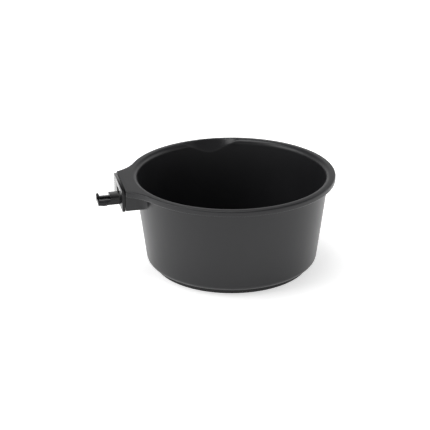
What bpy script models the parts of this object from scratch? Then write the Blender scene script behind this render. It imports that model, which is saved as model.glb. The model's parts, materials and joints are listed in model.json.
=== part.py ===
"""Hair colour bowl with a clip-on coupling at its side.

Metres, +Z up.  The origin is on the bowl's axis, on the surface it stands on.
The coupling points along -X and the pouring scoop in the rim is at +Y.
"""
import math

import bmesh
import bpy

# Bowl
BOWL_HEIGHT = 0.0590         # standing surface to the rim's top
RIM_RADIUS = 0.0635          # outer edge of the rim
RIM_OVERHANG = 0.0045        # how far the rim stands out past the wall below it
RIM_DEPTH = 0.0035           # height of the rim's outer band
RIM_EDGE_ROUND = 0.0008      # rounding of the rim's outer edges
RIM_TOP_WIDTH = 0.0030       # flat part of the rim's top
RIM_MOUTH_ROUND = 0.0030     # rounding from the rim's top down into the bowl
RIM_ROOT_ROUND = 0.0015      # fillet between the rim and the wall below it
WALL = 0.0020                # wall thickness
HEEL_RADIUS = 0.0530         # outside of the wall where the heel's round starts
HEEL_ROUND = 0.0038          # round between the wall and the underside
INNER_HEEL_ROUND = 0.0070    # round between the wall and the floor inside
FLOOR = 0.0028               # thickness of the floor over the foot

# Foot pad
FOOT_INSET = 0.0047          # foot's edge, inside the heel
FOOT_HEIGHT = 0.0029
FOOT_ROUND = 0.0006
FOOT_KEY_HEIGHT = 0.0010     # raised disc that sits in the bowl's underside
FOOT_KEY_INSET = 0.0035      # from the foot's edge to the raised disc
TREAD_OUTER_INSET = 0.0070   # width of the ring that stands on the surface
TREAD_HUB_RADIUS = 0.0150    # disc in the middle that also stands
TREAD_DEPTH = 0.0006         # depth of the hollow between ring and disc

# Pouring scoop in the rim
SCOOP_HALF_ANGLE = math.radians(19.5)
SCOOP_DEPTH = 0.0070         # at its middle, on the bowl's inner wall
SCOOP_LIP = 0.0025           # rim left outside the scoop
SCOOP_CREST = 0.35           # rounding of the scoop's lowest line, as a share of its half width
SCOOP_END_STEP = 0.0001      # depth at which the scoop stops at each end

# Boss that carries the coupling
BOSS_REACH = 0.0068          # coupling face, past the rim's outer edge
BOSS_WIDTH = 0.0304
BOSS_HEIGHT = 0.0135
BOSS_ROUND = 0.0008
FLARE_SHOULDER = 0.0030      # rim past the boss's side, at the boss's end
FLARE_RADIUS = 0.0275        # hollow curve from the rim into the boss
POCKET_SIDE_WALL = 0.0022
POCKET_ROOF = 0.0022
POCKET_FLOOR = 0.0015
POCKET_BACK_WALL = 0.0013    # over the bowl's own wall

# Coupling plate and plug
PLATE_THICKNESS = 0.0017
SOCKET_WIDTH = 0.0068
SOCKET_HEIGHT = 0.0038
SOCKET_LAND = 0.0006         # between the plug's top and the socket
PLUG_WIDTH = 0.0108
PLUG_RISE = 0.0011           # plug's underside over the boss's underside
PLUG_HEIGHT = 0.0044
BLOCK_LENGTH = 0.0053
PRONG_LENGTH = 0.0076
PRONG_HEIGHT = 0.00245
PRONG_GAP = 0.0034
CROSSBAR = 0.0015
BARB_LENGTH = 0.0046
BARB_PROUD = 0.0008
FOOT_BLOCK_WIDTH = 0.0044
FOOT_BLOCK_LENGTH = 0.0053
FOOT_BLOCK_HEIGHT = 0.0047
EAR_THICKNESS = 0.0012
EAR_LENGTH = 0.0040
EAR_HEIGHT = 0.0026

# Latch
HOOK_LENGTH = 0.0017
HOOK_RISE = 0.00175
NECK_HEIGHT = 0.00145        # lever's height where it passes the plate
NECK_CLEARANCE = 0.00075     # room below the neck for the lever's dip
NECK_OUT = 0.0006            # neck's length outside the plate
PIVOT_INSET = 0.0041         # coupling face to the pivot, which is level with the prongs' top
PIN_RADIUS = 0.0006
EYE_WALL = 0.0008
TAIL_THICKNESS = 0.0014
TAIL_END_GAP = 0.0005
SPRING_WIRE_RADIUS = 0.0002
SPRING_COIL_RADIUS = 0.0012
SPRING_TURNS = 6
SPRING_PEG_RADIUS = 0.0007
SPRING_PEG_HEIGHT = 0.0011
BUTTON_REACH = 0.0037        # pivot to the button's and the spring's axis
BUTTON_RADIUS = 0.0014
BUTTON_COLLAR = 0.0005
BUTTON_COLLAR_THICKNESS = 0.0006
BUTTON_PROUD = 0.0012

# Screws
SCREW_RADIUS = 0.00075
SCREW_HEAD_RADIUS = 0.00175
SCREW_BITE = 0.0036          # length in the coupling plate's foot
SCREW_SUNK = 0.0001
CROSS_WIDTH = 0.0005
CROSS_SPAN = 0.0020
CROSS_DEPTH = 0.0006

# Modelling
GAP = 0.0003                 # between neighbouring pieces
BITE = 0.0003                # how far joined shapes run into each other
OVERSHOOT = 0.0020           # how far a cutter runs past what it cuts
BOWL_SEGMENTS = 72
SMALL_SEGMENTS = 20
SMOOTH_ANGLE = math.radians(35)

# Places worked out from the sizes above
wall_top_radius = RIM_RADIUS - RIM_OVERHANG
mouth_radius = RIM_RADIUS - RIM_TOP_WIDTH
foot_radius = HEEL_RADIUS - FOOT_INSET
shell_bottom = FOOT_HEIGHT + GAP
rim_under = BOWL_HEIGHT - RIM_DEPTH
face_x = -(RIM_RADIUS + BOSS_REACH)
plate_back_x = face_x + PLATE_THICKNESS
boss_end_x = plate_back_x + GAP
pocket_back_x = -(wall_top_radius + POCKET_BACK_WALL)
pocket_half_width = BOSS_WIDTH / 2 - POCKET_SIDE_WALL
pocket_top = BOWL_HEIGHT - POCKET_ROOF
boss_bottom = BOWL_HEIGHT - BOSS_HEIGHT
pocket_bottom = boss_bottom + POCKET_FLOOR
plug_bottom = boss_bottom + PLUG_RISE
plug_top = plug_bottom + PLUG_HEIGHT
socket_middle = plug_top + SOCKET_LAND + SOCKET_HEIGHT / 2
prong_top = plug_bottom + PRONG_HEIGHT
block_end_x = face_x - BLOCK_LENGTH
tip_x = block_end_x - PRONG_LENGTH
plug_side = PLUG_WIDTH / 2
slot_side = PRONG_GAP / 2
lever_middle = (plug_side + slot_side) / 2
neck_bottom = prong_top - NECK_HEIGHT
pivot_x = face_x + PIVOT_INSET
pivot_z = prong_top
pin_hole_radius = PIN_RADIUS + GAP
eye_radius = pin_hole_radius + EYE_WALL
button_x = pivot_x + BUTTON_REACH
tail_top = pivot_z + TAIL_THICKNESS - BUTTON_COLLAR_THICKNESS
tail_bottom = tail_top - TAIL_THICKNESS
foot_block_middle = pocket_half_width - GAP - FOOT_BLOCK_WIDTH / 2
foot_block_x = plate_back_x + FOOT_BLOCK_LENGTH / 2
screw_hole_radius = SCREW_RADIUS + GAP


def clear_scene():
    for leftover in list(bpy.data.objects):
        bpy.data.objects.remove(leftover, do_unlink=True)


def make_material(name, colour, roughness, metallic=0.0):
    material = bpy.data.materials.new(name)
    material.use_nodes = True
    shader = material.node_tree.nodes["Principled BSDF"]
    shader.inputs["Base Color"].default_value = (*colour, 1.0)
    shader.inputs["Roughness"].default_value = roughness
    shader.inputs["Metallic"].default_value = metallic
    return material


def add_object(name, bm):
    """Turn a bmesh into an object with its faces pointing out."""
    bmesh.ops.recalc_face_normals(bm, faces=bm.faces)
    mesh = bpy.data.meshes.new(name)
    bm.to_mesh(mesh)
    bm.free()
    mesh.shade_smooth()
    mesh.set_sharp_from_angle(angle=SMOOTH_ANGLE)
    piece = bpy.data.objects.new(name, mesh)
    bpy.context.scene.collection.objects.link(piece)
    return piece


def extruded(name, outline, start, end, axis="Z"):
    """Extrude an outline: (x, y) along Z, or (x, z) along Y."""
    bm = bmesh.new()
    if axis == "Z":
        corners = [bm.verts.new((a, b, start)) for a, b in outline]
        step = (0, 0, end - start)
    else:
        corners = [bm.verts.new((a, start, b)) for a, b in outline]
        step = (0, end - start, 0)
    face = bm.faces.new(corners)
    grown = bmesh.ops.extrude_face_region(bm, geom=[face])
    moved = [item for item in grown["geom"] if isinstance(item, bmesh.types.BMVert)]
    bmesh.ops.translate(bm, verts=moved, vec=step)
    return add_object(name, bm)


def block(name, x_range, y_range, z_range):
    outline = [(x_range[0], y_range[0]), (x_range[1], y_range[0]),
               (x_range[1], y_range[1]), (x_range[0], y_range[1])]
    return extruded(name, outline, *z_range)


def turned(name, profile, centre=(0.0, 0.0), segments=SMALL_SEGMENTS):
    """Turn a closed (radius, z) profile about a vertical axis."""
    bm = bmesh.new()
    ring = [bm.verts.new((radius, 0.0, z)) for radius, z in profile]
    edges = [bm.edges.new((ring[i - 1], ring[i])) for i in range(len(ring))]
    bmesh.ops.spin(bm, geom=ring + edges, cent=(0, 0, 0), axis=(0, 0, 1),
                   angle=2 * math.pi, steps=segments, use_merge=True)
    bmesh.ops.remove_doubles(bm, verts=bm.verts, dist=1e-6)
    flat_edges = [edge for edge in bm.edges if not edge.link_faces]
    bmesh.ops.delete(bm, geom=flat_edges, context="EDGES")
    bmesh.ops.translate(bm, verts=bm.verts, vec=(centre[0], centre[1], 0))
    return add_object(name, bm)


def cross_rod(name, x, z, radius, y_range):
    """A round rod along Y."""
    outline = [(x + radius * math.cos(turn), z + radius * math.sin(turn))
               for turn in full_turn(SMALL_SEGMENTS)]
    return extruded(name, outline, *y_range, axis="Y")


def full_turn(count):
    return [2 * math.pi * i / count for i in range(count)]


def arc(centre, radius, start, end, count):
    """Points on an arc from one angle to another, both ends included."""
    return [(centre[0] + radius * math.cos(start + (end - start) * i / count),
             centre[1] + radius * math.sin(start + (end - start) * i / count))
            for i in range(count + 1)]


def boolean(piece, tool, operation):
    modifier = piece.modifiers.new(operation.lower(), "BOOLEAN")
    modifier.operation = operation
    modifier.object = tool
    modifier.solver = "EXACT"
    tool.hide_render = True
    tool.display_type = "WIRE"


def join(piece, *tools):
    for tool in tools:
        boolean(piece, tool, "UNION")


def cut(piece, *tools):
    for tool in tools:
        boolean(piece, tool, "DIFFERENCE")


def round_edges(piece, width, pick, segments=3):
    """Bevel the edges of a plain solid that pick() chooses."""
    bm = bmesh.new()
    bm.from_mesh(piece.data)
    edges = [edge for edge in bm.edges if pick(edge)]
    bmesh.ops.bevel(bm, geom=edges, offset=width, segments=segments, profile=0.5,
                    affect="EDGES", clamp_overlap=True)
    bm.to_mesh(piece.data)
    bm.free()


def at_height(edge, z):
    return all(abs(corner.co.z - z) < 1e-6 for corner in edge.verts)


def finish(piece, material):
    piece.data.materials.append(material)
    return piece


def body_profile():
    """Outside of the bowl, solid, from the axis at the underside to the axis at the top."""
    heel_z = shell_bottom + HEEL_ROUND
    heel_centre = (HEEL_RADIUS - HEEL_ROUND, heel_z)
    root = RIM_ROOT_ROUND
    wall_slope = (wall_top_radius - HEEL_RADIUS) / (rim_under - heel_z)
    root_start = (wall_top_radius - wall_slope * root, rim_under - root)
    profile = [(0.0, shell_bottom)]
    profile += arc(heel_centre, HEEL_ROUND, -math.pi / 2, 0.0, 5)
    profile += [root_start]
    profile += arc((wall_top_radius + root, rim_under - root), root, math.pi, math.pi / 2, 3)[1:]
    top = BOWL_HEIGHT - RIM_DEPTH / 2
    profile += [(wall_top_radius + root, top), (0.0, top)]
    return profile


def cavity_profile():
    """Inside of the bowl, from the axis above the rim down to the axis at the floor."""
    floor_z = shell_bottom + FLOOR
    heel_z = floor_z + INNER_HEEL_ROUND
    inner_foot = HEEL_RADIUS - WALL
    inner_heel = (inner_foot - INNER_HEEL_ROUND, heel_z)
    mouth = RIM_MOUTH_ROUND
    top = BOWL_HEIGHT + OVERSHOOT
    profile = [(0.0, top), (mouth_radius, top)]
    profile += arc((mouth_radius, BOWL_HEIGHT - mouth), mouth, math.pi / 2, math.pi, 4)
    profile += arc(inner_heel, INNER_HEEL_ROUND, 0.0, -math.pi / 2, 6)
    profile += [(0.0, floor_z)]
    return profile


def rim_outline():
    """The rim's round edge, drawn out into the boss by a hollow curve on each side."""
    corner = (-boss_end_x, BOSS_WIDTH / 2 + FLARE_SHOULDER)
    span = math.hypot(*corner)
    reach = RIM_RADIUS + FLARE_RADIUS
    swing = math.acos((reach ** 2 + span ** 2 - FLARE_RADIUS ** 2) / (2 * reach * span))
    tangent = math.atan2(corner[1], corner[0]) + swing
    centre = (-reach * math.cos(tangent), reach * math.sin(tangent))
    start = math.atan2(corner[1] - centre[1], boss_end_x - centre[0])
    end = -tangent
    flare = [(boss_end_x, corner[1])] + arc(centre, FLARE_RADIUS, start, end, 7)[1:]
    around = arc((0, 0), RIM_RADIUS, math.pi - tangent, tangent - math.pi, BOWL_SEGMENTS - 12)
    other_side = [(x, -y) for x, y in reversed(flare)]
    return flare + around[1:-1] + other_side


def rim_plate():
    plate = extruded("rim_plate", rim_outline(), rim_under, BOWL_HEIGHT)
    corner_x = boss_end_x + OVERSHOOT / 20
    round_edges(plate, RIM_EDGE_ROUND, lambda edge: not at_height(edge, edge.verts[0].co.z)
                and all(corner.co.x < corner_x for corner in edge.verts))
    round_edges(plate, RIM_EDGE_ROUND, lambda edge: at_height(edge, BOWL_HEIGHT)
                and min(corner.co.x for corner in edge.verts) > boss_end_x + RIM_EDGE_ROUND / 20)
    return plate


def boss_body():
    top = rim_under + BITE
    boss = block("boss_body", (boss_end_x, -(HEEL_RADIUS - WALL)),
                 (-BOSS_WIDTH / 2, BOSS_WIDTH / 2), (boss_bottom, top))
    round_edges(boss, BOSS_ROUND, lambda edge: at_height(edge, boss_bottom)
                and abs(edge.verts[0].co.y - edge.verts[1].co.y) < 1e-6)
    return boss


def scoop_cutter():
    """What the scoop takes off the rim: deepest at +Y and running out at both ends."""
    count = 16
    lip_radius = RIM_RADIUS - SCOOP_LIP
    inner_radius = wall_top_radius - WALL
    slope_run = lip_radius - inner_radius
    radii = (lip_radius + SCOOP_LIP / 4, lip_radius - 3 * slope_run)
    top = BOWL_HEIGHT + SCOOP_DEPTH
    crest = math.hypot(1, SCOOP_CREST)
    bm = bmesh.new()
    sections = []
    for i in range(count + 1):
        share = 2 * i / count - 1
        turn = math.pi / 2 + share * SCOOP_HALF_ANGLE
        rise = (crest - math.hypot(share, SCOOP_CREST)) / (crest - SCOOP_CREST)
        slope = (SCOOP_END_STEP + rise * (SCOOP_DEPTH - SCOOP_END_STEP)) / slope_run
        section = [(radius, BOWL_HEIGHT + slope * (radius - lip_radius)) for radius in radii]
        section += [(radii[1], top), (radii[0], top)]
        sections.append([bm.verts.new((radius * math.cos(turn), radius * math.sin(turn), z))
                         for radius, z in section])
    for near, far in zip(sections, sections[1:]):
        for k in range(4):
            bm.faces.new((near[k - 1], near[k], far[k], far[k - 1]))
    bm.faces.new(sections[0])
    bm.faces.new(sections[-1])
    return add_object("scoop_cutter", bm)


def screw_recess(side):
    """Clearance hole and countersink under one screw."""
    sink = SCREW_HEAD_RADIUS + 2 * GAP
    depth = sink - screw_hole_radius
    profile = [(0.0, boss_bottom - OVERSHOOT), (sink, boss_bottom - OVERSHOOT),
               (sink, boss_bottom), (screw_hole_radius, boss_bottom + depth),
               (screw_hole_radius, pocket_bottom + BITE), (0.0, pocket_bottom + BITE)]
    centre = (foot_block_x, side * foot_block_middle)
    return turned("screw_recess", profile, centre)


def bowl_shell(material):
    shell = turned("bowl_shell", body_profile(), segments=BOWL_SEGMENTS)
    join(shell, rim_plate(), boss_body())
    cut(shell, turned("cavity_cutter", cavity_profile(), segments=BOWL_SEGMENTS), scoop_cutter())
    key_radius = foot_radius - FOOT_KEY_INSET + GAP
    key_top = shell_bottom + FOOT_KEY_HEIGHT
    key_profile = [(0.0, key_top), (0.0, -OVERSHOOT), (key_radius, -OVERSHOOT), (key_radius, key_top)]
    cut(shell, turned("foot_key_cutter", key_profile, segments=BOWL_SEGMENTS))
    cut(shell, block("pocket_cutter", (boss_end_x - OVERSHOOT, pocket_back_x),
                     (-pocket_half_width, pocket_half_width), (pocket_bottom, pocket_top)))
    hole = BUTTON_RADIUS + GAP
    hole_profile = [(0.0, boss_bottom - OVERSHOOT), (hole, boss_bottom - OVERSHOOT),
                    (hole, pocket_bottom + BITE), (0.0, pocket_bottom + BITE)]
    cut(shell, turned("button_hole", hole_profile, (button_x, lever_middle)))
    cut(shell, screw_recess(1), screw_recess(-1))
    peg_profile = [(0.0, pocket_top - SPRING_PEG_HEIGHT), (SPRING_PEG_RADIUS, pocket_top - SPRING_PEG_HEIGHT),
                   (SPRING_PEG_RADIUS, pocket_top + BITE), (0.0, pocket_top + BITE)]
    join(shell, turned("roof_peg", peg_profile, (button_x, lever_middle)))
    return finish(shell, material)


def foot_pad(material):
    """Soft pad under the bowl, with a raised disc that keys into the underside."""
    key_radius = foot_radius - FOOT_KEY_INSET
    tread_radius = foot_radius - TREAD_OUTER_INSET
    low = (foot_radius - FOOT_ROUND, FOOT_ROUND)
    high = (foot_radius - FOOT_ROUND, FOOT_HEIGHT - FOOT_ROUND)
    profile = [(0.0, 0.0), (TREAD_HUB_RADIUS, 0.0), (TREAD_HUB_RADIUS, TREAD_DEPTH),
               (tread_radius, TREAD_DEPTH), (tread_radius, 0.0)]
    profile += arc(low, FOOT_ROUND, -math.pi / 2, 0.0, 2)
    profile += arc(high, FOOT_ROUND, 0.0, math.pi / 2, 2)
    profile += [(key_radius, FOOT_HEIGHT), (key_radius, FOOT_HEIGHT + FOOT_KEY_HEIGHT),
                (0.0, FOOT_HEIGHT + FOOT_KEY_HEIGHT)]
    return finish(turned("foot_pad", profile, segments=BOWL_SEGMENTS), material)


def plug_outline():
    """The plug from above, with the barb on its -Y side."""
    barb_start = tip_x + CROSSBAR / 2
    barb_end = barb_start + BARB_LENGTH
    return [(face_x + BITE, -plug_side), (barb_end, -plug_side), (barb_end, -plug_side - BARB_PROUD),
            ((barb_start + barb_end) / 2, -plug_side - BARB_PROUD), (barb_start, -plug_side),
            (tip_x, -plug_side), (tip_x, plug_side), (face_x + BITE, plug_side)]


def socket_outline(z):
    """Round-ended socket for the mating bowl's peg."""
    radius = SOCKET_HEIGHT / 2
    half = SOCKET_WIDTH / 2 - radius
    return (arc((half, z), radius, -math.pi / 2, math.pi / 2, 6)
            + arc((-half, z), radius, math.pi / 2, 3 * math.pi / 2, 6))


def socket_cutter():
    bm = bmesh.new()
    outline = socket_outline(socket_middle)
    start = face_x - OVERSHOOT
    face = bm.faces.new([bm.verts.new((start, y, z)) for y, z in outline])
    grown = bmesh.ops.extrude_face_region(bm, geom=[face])
    moved = [item for item in grown["geom"] if isinstance(item, bmesh.types.BMVert)]
    bmesh.ops.translate(bm, verts=moved, vec=(PLATE_THICKNESS + 2 * OVERSHOOT, 0, 0))
    return add_object("socket_cutter", bm)


def pilot_cutter(side):
    start = pocket_bottom
    end = start + GAP + SCREW_BITE + GAP
    profile = [(0.0, start), (screw_hole_radius, start), (screw_hole_radius, end), (0.0, end)]
    return turned("pilot_cutter", profile, (foot_block_x, side * foot_block_middle))


def ear(name, inner_y):
    top = pivot_z + EAR_HEIGHT / 2
    return block(name, (plate_back_x - BITE, plate_back_x + EAR_LENGTH),
                 (inner_y, inner_y + EAR_THICKNESS), (top - EAR_HEIGHT, top))


def coupling_plate(material):
    plate = block("coupling_plate", (face_x, plate_back_x),
                  (-BOSS_WIDTH / 2, BOSS_WIDTH / 2), (boss_bottom, BOWL_HEIGHT))
    join(plate, extruded("plug_body", plug_outline(), plug_bottom, plug_top))
    near_ear = slot_side - GAP - EAR_THICKNESS
    far_ear = plug_side + GAP
    join(plate, ear("near_ear", near_ear), ear("far_ear", far_ear))
    foot_bottom = pocket_bottom + GAP
    for side in (-1, 1):
        inner = side * (foot_block_middle - FOOT_BLOCK_WIDTH / 2)
        outer = side * (foot_block_middle + FOOT_BLOCK_WIDTH / 2)
        join(plate, block("plate_foot", (plate_back_x - BITE, plate_back_x + FOOT_BLOCK_LENGTH),
                          sorted((inner, outer)), (foot_bottom, foot_bottom + FOOT_BLOCK_HEIGHT)))
        cut(plate, pilot_cutter(side))
    lever_inner = slot_side - GAP
    over_prongs = block("over_prongs", (tip_x - OVERSHOOT, block_end_x),
                        (-plug_side - OVERSHOOT, plug_side + OVERSHOOT), (prong_top, plug_top + OVERSHOOT))
    between_prongs = block("between_prongs", (tip_x + CROSSBAR, block_end_x),
                           (-slot_side, plug_side), (plug_bottom - OVERSHOOT, plug_top))
    lever_channel = block("lever_channel", (tip_x - OVERSHOOT, face_x),
                          (lever_inner, plug_side + OVERSHOOT), (plug_bottom - OVERSHOOT, prong_top + GAP))
    lever_window = block("lever_window", (face_x - BITE, plate_back_x + BITE),
                         (lever_inner, plug_side + GAP), (neck_bottom - NECK_CLEARANCE, prong_top + GAP))
    cut(plate, over_prongs, between_prongs, lever_channel, lever_window, socket_cutter())
    cut(plate, cross_rod("pin_hole", pivot_x, pivot_z, pin_hole_radius,
                         (near_ear - OVERSHOOT, far_ear + EAR_THICKNESS + OVERSHOOT)))
    return finish(plate, material)


def eye_turn(z):
    """Angle on the lever's eye at a height, on the tail's side."""
    return math.asin(max(-1.0, min(1.0, (z - pivot_z) / eye_radius)))


def lever_outline():
    """The lever from the side: hook, prong, neck through the plate, eye round the pin, and tail."""
    hook_top = prong_top + HOOK_RISE
    neck_end = face_x - NECK_OUT
    tail_end = pocket_back_x - TAIL_END_GAP
    lead_in = HOOK_RISE / 3
    pivot = (pivot_x, pivot_z)
    eye_under = arc(pivot, eye_radius, -math.pi - eye_turn(neck_bottom), eye_turn(tail_bottom), 7)
    eye_over = arc(pivot, eye_radius, eye_turn(tail_top), math.pi - eye_turn(prong_top), 10)
    return ([(tip_x, plug_bottom), (neck_end, plug_bottom), (neck_end, neck_bottom)]
            + eye_under + [(tail_end, tail_bottom), (tail_end, tail_top)] + eye_over
            + [(tip_x + HOOK_LENGTH, prong_top), (tip_x + HOOK_LENGTH, hook_top),
               (tip_x + lead_in, hook_top), (tip_x, hook_top - lead_in)])


def latch_lever(material):
    lever = extruded("latch_lever", lever_outline(), slot_side, plug_side, axis="Y")
    cut(lever, cross_rod("lever_bore", pivot_x, pivot_z, pin_hole_radius,
                         (slot_side - OVERSHOOT, plug_side + OVERSHOOT)))
    peg_top = tail_top + SPRING_PEG_HEIGHT
    peg_profile = [(0.0, tail_top - BITE), (SPRING_PEG_RADIUS, tail_top - BITE),
                   (SPRING_PEG_RADIUS, peg_top), (0.0, peg_top)]
    join(lever, turned("lever_peg", peg_profile, (button_x, lever_middle)))
    return finish(lever, material)


def latch_pin(material):
    ends = (slot_side - GAP - EAR_THICKNESS, plug_side + GAP + EAR_THICKNESS)
    return finish(cross_rod("latch_pin", pivot_x, pivot_z, PIN_RADIUS, ends), material)


def latch_spring(material):
    """Coil spring between the pocket's roof and the lever's tail, with closed end turns."""
    bottom = tail_top + GAP + SPRING_WIRE_RADIUS
    top = pocket_top - GAP - SPRING_WIRE_RADIUS
    per_turn = 14
    steps = SPRING_TURNS * per_turn
    closed = 3 * SPRING_WIRE_RADIUS
    curve = bpy.data.curves.new("latch_spring", "CURVE")
    curve.dimensions = "3D"
    curve.bevel_depth = SPRING_WIRE_RADIUS
    curve.bevel_resolution = 1
    curve.use_fill_caps = True
    spline = curve.splines.new("POLY")
    spline.points.add(steps)
    for i in range(steps + 1):
        turn = 2 * math.pi * i / per_turn
        turns = i / per_turn
        middle = (turns - 1) / (SPRING_TURNS - 2)
        open_part = min(max(middle, 0.0), 1.0)
        closing = closed * (min(turns, 1.0) + max(turns - SPRING_TURNS + 1, 0.0))
        z = bottom + closing + open_part * (top - bottom - 2 * closed)
        spline.points[i].co = (button_x + SPRING_COIL_RADIUS * math.cos(turn),
                               lever_middle + SPRING_COIL_RADIUS * math.sin(turn), z, 1.0)
    spring = bpy.data.objects.new("latch_spring", curve)
    bpy.context.scene.collection.objects.link(spring)
    return finish(spring, material)


def release_button(material):
    """Round button in the pocket's floor, under the lever's tail."""
    low = boss_bottom - BUTTON_PROUD
    collar_bottom = pocket_bottom + GAP
    collar_top = collar_bottom + BUTTON_COLLAR_THICKNESS
    nose_top = tail_bottom - GAP
    collar_radius = BUTTON_RADIUS + BUTTON_COLLAR
    nose_radius = BUTTON_RADIUS - BUTTON_COLLAR
    edge = BUTTON_RADIUS / 6
    profile = [(0.0, low), (BUTTON_RADIUS - edge, low), (BUTTON_RADIUS, low + edge),
               (BUTTON_RADIUS, collar_bottom), (collar_radius, collar_bottom),
               (collar_radius, collar_top), (nose_radius, collar_top),
               (nose_radius, nose_top), (0.0, nose_top)]
    return finish(turned("release_button", profile, (button_x, lever_middle)), material)


def cross_cutter(centre):
    """Cross recess of a screw head."""
    arm = CROSS_SPAN / 2
    half = CROSS_WIDTH / 2
    outline = []
    for quarter in range(4):
        turn = quarter * math.pi / 2
        for along, across in ((arm, -half), (arm, half), (half, half)):
            outline.append((centre[0] + along * math.cos(turn) - across * math.sin(turn),
                            centre[1] + along * math.sin(turn) + across * math.cos(turn)))
    head_z = boss_bottom + SCREW_SUNK
    return extruded("cross_cutter", outline, head_z - OVERSHOOT, head_z + CROSS_DEPTH)


def plate_screw(name, side, material):
    """Countersunk self-tapping screw, driven up from under the boss."""
    head_z = boss_bottom + SCREW_SUNK
    cone = SCREW_HEAD_RADIUS - SCREW_RADIUS
    tip = pocket_bottom + GAP + SCREW_BITE
    profile = [(0.0, head_z), (SCREW_HEAD_RADIUS, head_z), (SCREW_RADIUS, head_z + cone),
               (SCREW_RADIUS, tip - SCREW_RADIUS), (0.0, tip)]
    centre = (foot_block_x, side * foot_block_middle)
    piece = turned(name, profile, centre)
    cut(piece, cross_cutter(centre))
    return finish(piece, material)


def main():
    clear_scene()
    satin_grey = make_material("satin_grey_plastic", (0.035, 0.035, 0.036), 0.42)
    gloss_black = make_material("gloss_black_plastic", (0.012, 0.012, 0.012), 0.18)
    soft_black = make_material("soft_black_rubber", (0.022, 0.022, 0.022), 0.75)
    steel = make_material("steel", (0.56, 0.56, 0.57), 0.30, 1.0)
    bowl_shell(satin_grey)
    foot_pad(soft_black)
    coupling_plate(gloss_black)
    latch_lever(gloss_black)
    latch_pin(steel)
    latch_spring(steel)
    release_button(gloss_black)
    plate_screw("plate_screw_back", 1, steel)
    plate_screw("plate_screw_front", -1, steel)


main()
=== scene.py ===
import json
import math

import bmesh
import bpy
from bpy.props import FloatProperty, FloatVectorProperty, IntProperty, PointerProperty, StringProperty
from bpy.types import Operator, Panel, PropertyGroup
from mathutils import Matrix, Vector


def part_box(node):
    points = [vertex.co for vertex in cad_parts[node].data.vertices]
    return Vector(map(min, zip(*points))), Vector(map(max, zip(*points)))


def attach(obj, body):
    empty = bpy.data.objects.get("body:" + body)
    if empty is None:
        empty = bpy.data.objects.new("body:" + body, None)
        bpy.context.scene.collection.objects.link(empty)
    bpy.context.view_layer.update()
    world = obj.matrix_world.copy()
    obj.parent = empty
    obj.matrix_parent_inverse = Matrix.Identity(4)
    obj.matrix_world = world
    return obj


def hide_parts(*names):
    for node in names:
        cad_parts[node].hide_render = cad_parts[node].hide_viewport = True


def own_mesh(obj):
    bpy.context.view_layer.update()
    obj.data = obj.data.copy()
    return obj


bl_info = {
    "name": "Hair Colour Bowl",
    "version": (1, 0, 0),
    "blender": (4, 5, 0),
    "location": "3D View > Sidebar > Colour Bowl",
    "description": "Builds the finished surfaces of a hair colour bowl with a clip-on coupling",
    "category": "Object",
}

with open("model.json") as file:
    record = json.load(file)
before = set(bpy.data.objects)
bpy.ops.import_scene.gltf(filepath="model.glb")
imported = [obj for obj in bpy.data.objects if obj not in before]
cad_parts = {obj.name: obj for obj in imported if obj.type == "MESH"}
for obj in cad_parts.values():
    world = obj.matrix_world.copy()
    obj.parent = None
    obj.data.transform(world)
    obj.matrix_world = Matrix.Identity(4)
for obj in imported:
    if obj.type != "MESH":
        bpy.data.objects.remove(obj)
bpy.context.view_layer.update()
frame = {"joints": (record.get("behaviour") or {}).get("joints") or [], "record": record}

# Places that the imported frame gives
SHELL_LOW, SHELL_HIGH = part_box("bowl_shell")
PAD_LOW, PAD_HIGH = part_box("foot_pad")
PLATE_LOW, PLATE_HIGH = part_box("coupling_plate")
LEVER_LOW, LEVER_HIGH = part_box("latch_lever")
PIN_LOW, PIN_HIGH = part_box("latch_pin")
SPRING_LOW, SPRING_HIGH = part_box("latch_spring")
BUTTON_LOW, BUTTON_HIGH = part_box("release_button")
MOUNTS = {mount["name"]: mount for mount in frame["record"]["mounts"]}
JOINTS = {joint["name"]: joint for joint in frame["joints"]}
FACE_X = MOUNTS["coupling_face"]["pos_m"][0]
PIVOT_X, PIVOT_Y, PIVOT_Z = JOINTS["latch_tilt"]["pos_m"]
BUTTON_X = (BUTTON_LOW.x + BUTTON_HIGH.x) / 2
BUTTON_Y = (BUTTON_LOW.y + BUTTON_HIGH.y) / 2
RIM_TOP = SHELL_HIGH.z
BOSS_BOTTOM = PLATE_LOW.z
BOSS_SIDE = PLATE_HIGH.y
BOSS_END_X = SHELL_LOW.x
UNDERSIDE = SHELL_LOW.z
PRONG_TOP = PIVOT_Z

# Modelling
GAP = 0.0003         # between neighbouring pieces
OVERSHOOT = 0.0020   # how far a cutter runs past what it cuts


def length(name, default, description):
    return FloatProperty(name=name, description=description, default=default, subtype="DISTANCE",
                         unit="LENGTH", precision=5)


def colour(name, default, description):
    return StringProperty(name=name, description=description, default=default)


def share(name, default, description):
    return FloatProperty(name=name, description=description, default=default, min=0.0, max=1.0,
                         subtype="FACTOR")


def spot(name, default, description):
    return FloatVectorProperty(name=name, description=description, default=default,
                               subtype="TRANSLATION", unit="LENGTH")


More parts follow.
